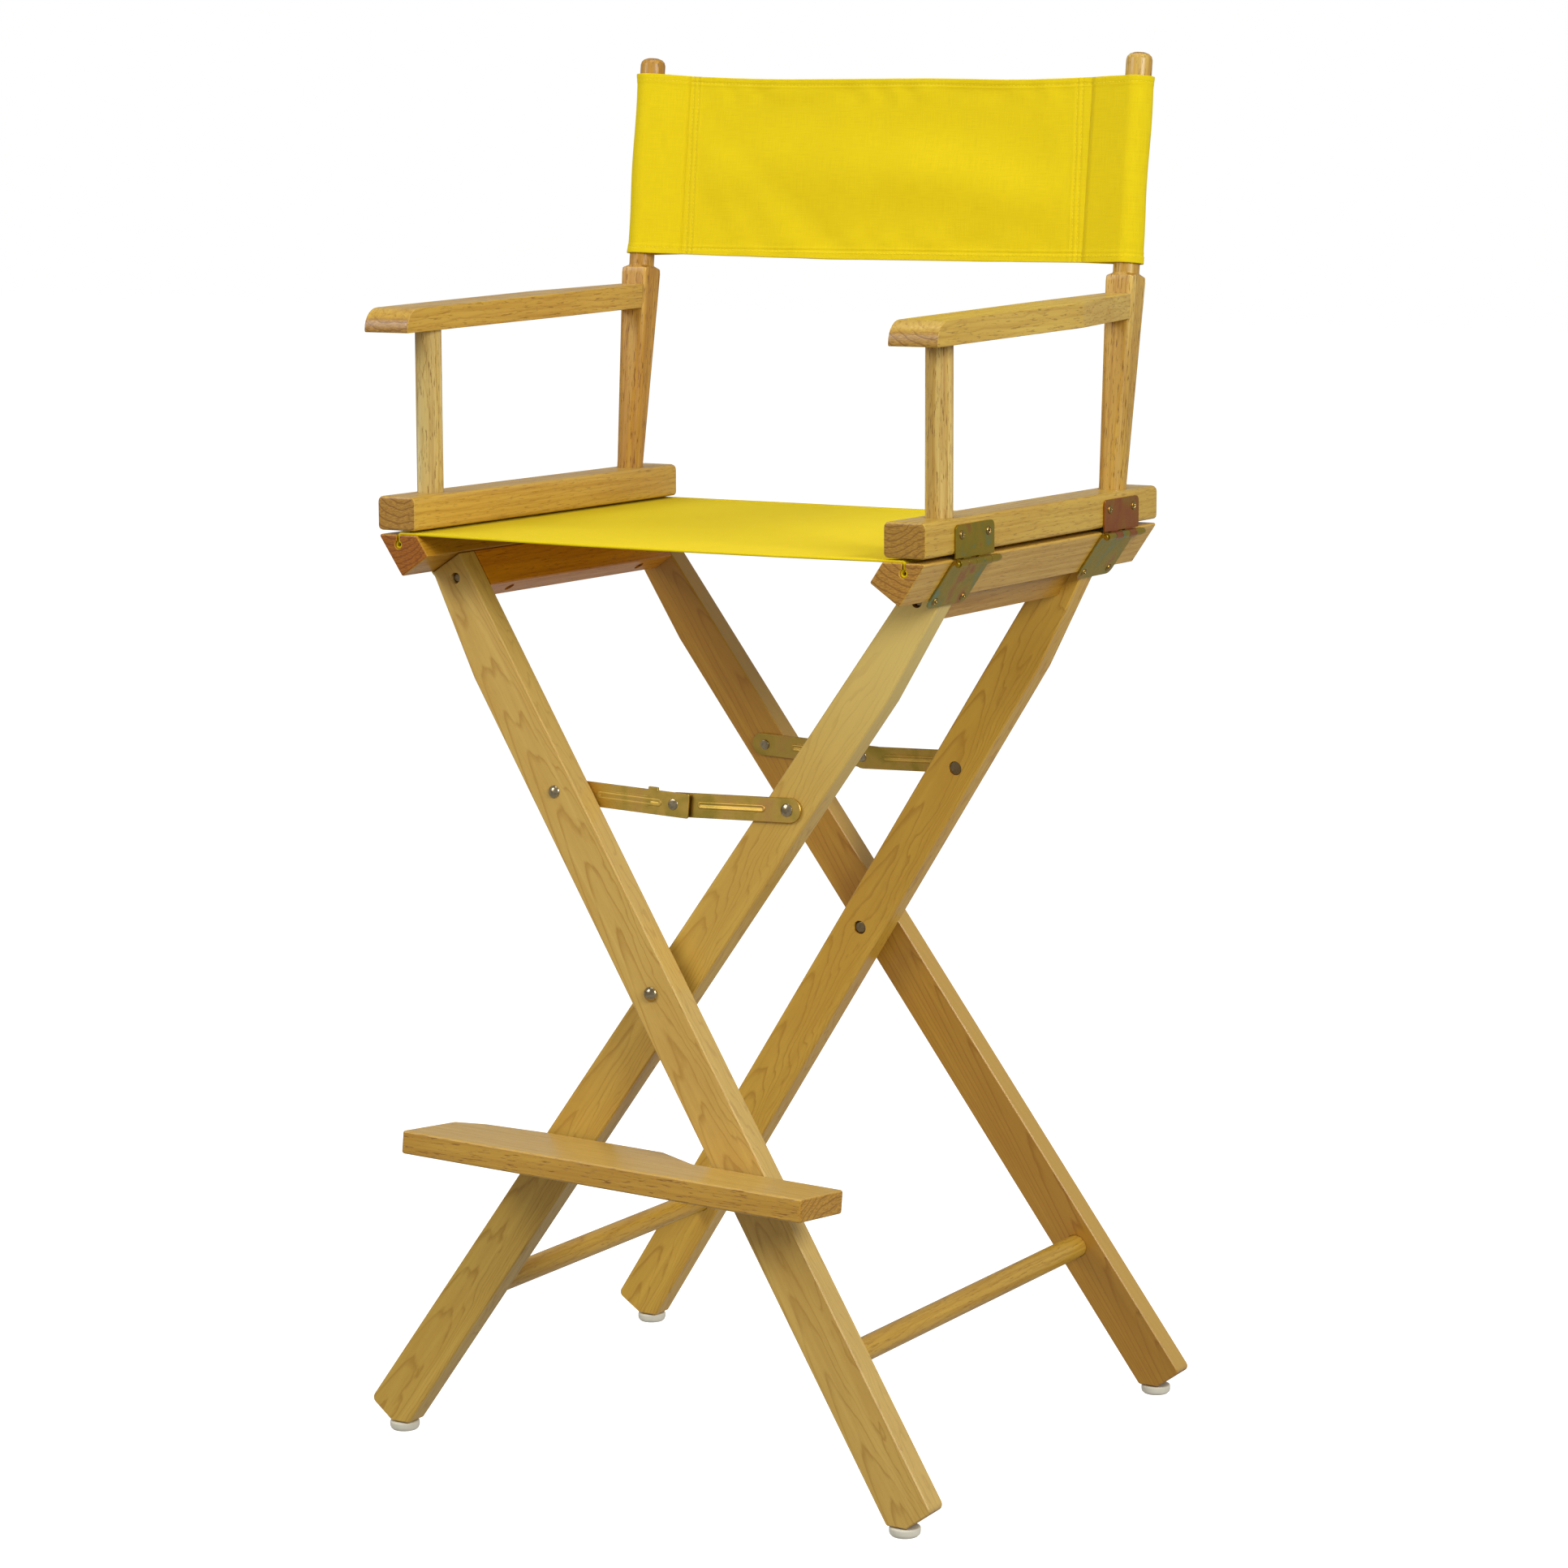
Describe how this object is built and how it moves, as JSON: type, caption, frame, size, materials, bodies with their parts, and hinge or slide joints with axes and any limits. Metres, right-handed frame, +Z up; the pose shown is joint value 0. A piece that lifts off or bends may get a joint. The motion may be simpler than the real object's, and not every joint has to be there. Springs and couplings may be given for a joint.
{
  "type": "director chair",
  "caption": "Bar-height folding director's chair: crossed wooden legs, slung canvas seat and back, flat arms, folding metal braces and a wooden footrest.",
  "frame": {"origin": "centre of the footprint on the floor, under the centre of the bounding box", "axes": "+X to the sitter's left, which is the right-hand side seen from the front; +Y from front to back; +Z up"},
  "size_m": [0.5582, 0.515, 1.156],
  "materials": {
    "wood": "oiled, satin",
    "wood_light": "oiled, satin",
    "canvas": "plain woven cotton canvas",
    "zinc_steel": "yellow zinc plate",
    "nickel_steel": "nickel plate",
    "plastic": "off-white moulded plastic"
  },
  "bodies": {
    "outer_frame": {"leg_outer_front": "wood_light", "leg_outer_rear": "wood", "seat_rail_left": "wood", "apron_left": "wood", "stretcher_right": "wood_light", "glide_right_front": "plastic", "glide_right_rear": "plastic", "seat_dowel_left": "wood_light", "hinge_leaf_lower_left_front": "zinc_steel", "hinge_leaf_lower_left_rear": "zinc_steel", "hinge_pin_left_front": "zinc_steel", "hinge_pin_left_rear": "zinc_steel", "scissor_bolt_front": "nickel_steel", "scissor_bolt_rear": "nickel_steel", "brace_rivet_left_front": "nickel_steel", "brace_rivet_left_rear": "nickel_steel", "footrest_bolt": "nickel_steel", "leg_screw_left_front": "nickel_steel", "leg_screw_left_rear": "nickel_steel", "seat_canvas": "canvas"},
    "inner_frame": {"leg_inner_front": "wood", "leg_inner_rear": "wood", "seat_rail_right": "wood", "apron_right": "wood_light", "stretcher_left": "wood_light", "glide_left_front": "plastic", "glide_left_rear": "plastic", "seat_dowel_right": "wood_light", "hinge_leaf_lower_right_front": "zinc_steel", "hinge_leaf_lower_right_rear": "zinc_steel", "hinge_pin_right_front": "zinc_steel", "hinge_pin_right_rear": "zinc_steel", "brace_rivet_right_front": "nickel_steel", "brace_rivet_right_rear": "nickel_steel", "footrest_peg": "wood_light", "leg_screw_right_front": "nickel_steel", "leg_screw_right_rear": "nickel_steel"},
    "left_side": {"arm_rail_left": "wood", "front_post_left": "wood_light", "back_post_left": "wood_light", "arm_left": "wood", "hinge_leaf_upper_left_front": "zinc_steel", "hinge_leaf_upper_left_rear": "zinc_steel", "back_canvas": "canvas"},
    "right_side": {"arm_rail_right": "wood", "front_post_right": "wood_light", "back_post_right": "wood_light", "arm_right": "wood", "hinge_leaf_upper_right_front": "zinc_steel", "hinge_leaf_upper_right_rear": "zinc_steel"},
    "front_left_link": {"brace_link_left_front": "zinc_steel", "brace_knee_left_front": "nickel_steel"},
    "front_right_link": {"brace_link_right_front": "zinc_steel", "brace_knee_right_front": "nickel_steel"},
    "rear_left_link": {"brace_link_left_rear": "zinc_steel", "brace_knee_left_rear": "nickel_steel"},
    "rear_right_link": {"brace_link_right_rear": "zinc_steel", "brace_knee_right_rear": "nickel_steel"},
    "footrest": {"footrest": "wood_light"}
  },
  "joints": [
    {"name": "fold", "type": "hinge", "parent": "outer_frame", "child": "inner_frame", "pos_m": [0, 0.0213, 0.403], "axis": [0, -1, 0], "range_deg": [0, 54], "deforming": ["seat_canvas"]},
    {"name": "left_side_hinge", "type": "hinge", "parent": "outer_frame", "child": "left_side", "pos_m": [-0.262, 0.0213, 0.7615], "axis": [0, -1, 0], "range_deg": [0, 27], "deforming": ["back_canvas"]},
    {"name": "right_side_hinge", "type": "hinge", "parent": "inner_frame", "child": "right_side", "pos_m": [0.262, 0.0213, 0.7615], "axis": [0, 1, 0], "range_deg": [0, 27]},
    {"name": "front_left_brace", "type": "hinge", "parent": "outer_frame", "child": "front_left_link", "pos_m": [-0.1029, -0.13525, 0.5562], "axis": [0, -0.9949, 0.101], "range_deg": [0, 110.86]},
    {"name": "front_right_brace", "type": "hinge", "parent": "inner_frame", "child": "front_right_link", "pos_m": [0.1029, -0.13525, 0.5562], "axis": [0, 0.9949, -0.101], "range_deg": [0, 102.19]},
    {"name": "rear_left_brace", "type": "hinge", "parent": "outer_frame", "child": "rear_left_link", "pos_m": [-0.1029, 0.17785, 0.5562], "axis": [0, -0.9949, -0.101], "range_deg": [0, 110.86]},
    {"name": "rear_right_brace", "type": "hinge", "parent": "inner_frame", "child": "rear_right_link", "pos_m": [0.1029, 0.17785, 0.5562], "axis": [0, 0.9949, 0.101], "range_deg": [0, 102.19]},
    {"name": "footrest_pivot", "type": "hinge", "parent": "outer_frame", "child": "footrest", "pos_m": [0.093, -0.17618, 0.2613], "axis": [0, -1, 0], "range_deg": [0, 27.01]}
  ],
  "couplings": [
    {"joint": "left_side_hinge", "follows": "fold", "ratio": 0.5},
    {"joint": "right_side_hinge", "follows": "fold", "ratio": 0.5},
    {"joint": "front_left_brace", "follows": "fold", "ratio": 2.0527},
    {"joint": "front_right_brace", "follows": "fold", "ratio": 1.8923},
    {"joint": "rear_left_brace", "follows": "fold", "ratio": 2.0527},
    {"joint": "rear_right_brace", "follows": "fold", "ratio": 1.8923},
    {"joint": "footrest_pivot", "follows": "fold", "ratio": 0.5}
  ]
}
